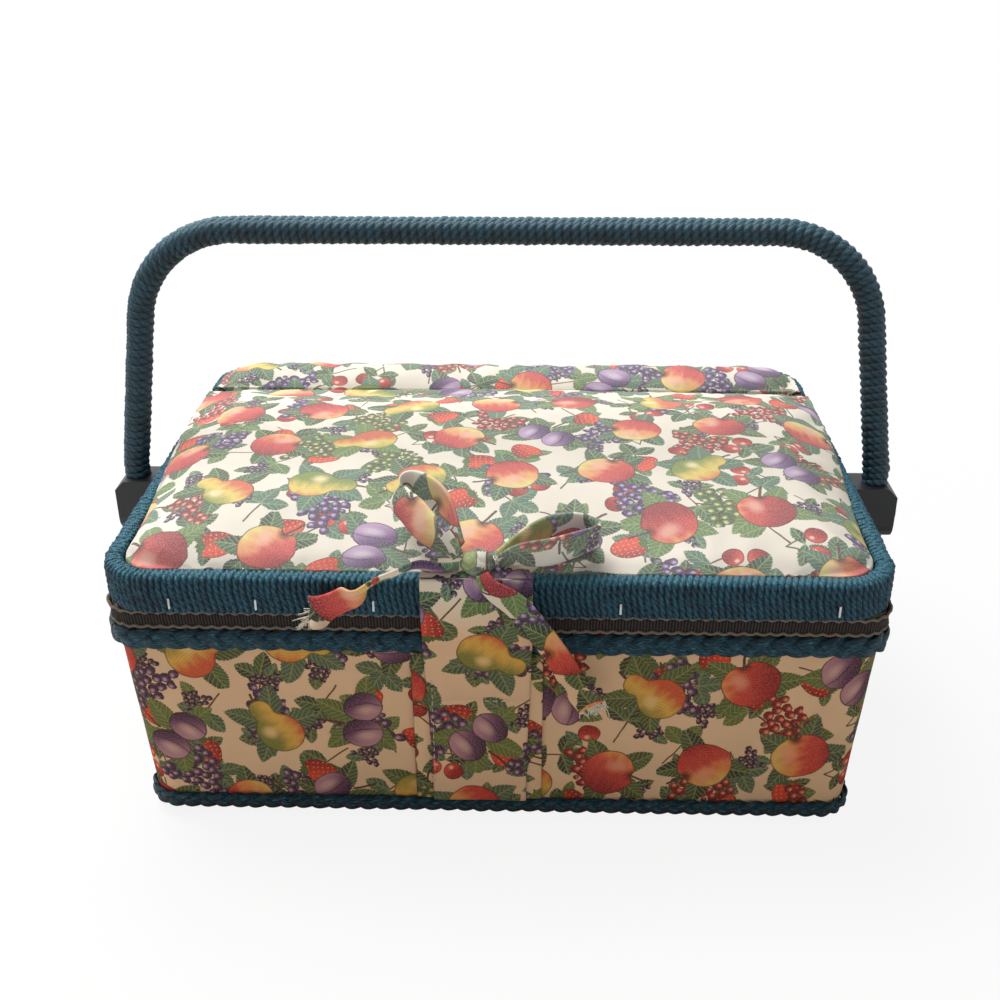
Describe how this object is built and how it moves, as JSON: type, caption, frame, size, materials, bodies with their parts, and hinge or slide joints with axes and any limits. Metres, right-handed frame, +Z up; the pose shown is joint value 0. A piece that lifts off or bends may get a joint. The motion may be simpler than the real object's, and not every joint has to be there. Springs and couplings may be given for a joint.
{
  "type": "sewing basket",
  "caption": "Cloth-covered rectangular sewing basket with a padded hinged lid, cord-wound rims, a swinging handle, a tied bow and a lift-out tray.",
  "frame": {"origin": "on the floor under the middle of the whole basket, handle and bow included", "axes": "+Z up, +X to the basket's right seen from the front, the front faces -Y"},
  "size_m": [0.3342, 0.215, 0.2092],
  "materials": {
    "print_cloth": "matt woven cotton, cream ground, printed all over with small fruit and leaves",
    "rim_cord": "satin twisted cord, wound close",
    "handle_cord": "satin twisted cord, wound close",
    "teal_braid": "satin flat braid",
    "gimp": "matt woven tape",
    "lining_cloth": "soft satin cloth",
    "pincushion_cloth": "matt cloth",
    "board": "raw fibreboard",
    "black_plastic": "matt moulded",
    "base_paper": "matt coated sheet",
    "tray_plastic": "smooth moulded",
    "cane": "raw",
    "steel": "plain wire and sheet"
  },
  "bodies": {
    "basket": {"base_braid": "teal_braid", "top_braid": "teal_braid", "gimp_tape": "gimp", "base_sheet": "base_paper", "bottom_board": "board", "wall_board": "board", "wall_cover": "print_cloth", "wall_lining": "lining_cloth", "tray_ledge": "lining_cloth", "floor_pad": "lining_cloth", "insert_tray": "tray_plastic", "foot_front_left": "black_plastic", "foot_front_right": "black_plastic", "foot_rear_left": "black_plastic", "foot_rear_right": "black_plastic", "front_panel": "print_cloth", "closure_strap": "print_cloth", "deck_board": "board", "deck_pad": "print_cloth", "deck_rim_cord": "rim_cord", "deck_rim_core": "board", "hinge_cloth": "print_cloth", "pivot_washer_left": "steel", "pivot_washer_right": "steel", "pivot_spacer_left": "black_plastic", "pivot_spacer_right": "black_plastic"},
    "lid": {"lid_board": "board", "lid_lining": "lining_cloth", "lid_pad": "print_cloth", "lid_rim_cord": "rim_cord", "lid_rim_core": "board", "pincushion": "pincushion_cloth", "rim_staple_1": "steel", "rim_staple_2": "steel", "rim_staple_3": "steel", "rim_staple_4": "steel", "rim_staple_5": "steel", "bow_knot": "print_cloth", "bow_loop_left": "print_cloth", "bow_loop_right": "print_cloth", "bow_tail_left": "print_cloth", "bow_tail_right": "print_cloth"},
    "pivots": {"pivot_rivet_left": "steel", "pivot_rivet_right": "steel"},
    "handle": {"handle_core": "cane", "handle_cord": "handle_cord", "handle_sleeve_left": "black_plastic", "handle_sleeve_right": "black_plastic"}
  },
  "joints": [
    {"name": "lid_hinge", "type": "hinge", "parent": "basket", "child": "lid", "pos_m": [0, 0.0737, 0.1123], "axis": [-1, 0, 0], "range_deg": [0, 100]},
    {"name": "handle_lay_back", "type": "hinge", "parent": "basket", "child": "pivots", "pos_m": [0, 0.0147, 0.084], "axis": [-1, 0, 0], "range_deg": [0, 88.5]},
    {"name": "handle_swing", "type": "hinge", "parent": "pivots", "child": "handle", "pos_m": [0, 0.0147, 0.084], "axis": [-1, 0, 0], "range_deg": [-38, 35]}
  ],
  "couplings": [
    {"joint": "handle_lay_back", "follows": "lid_hinge", "ratio": 0.88}
  ]
}
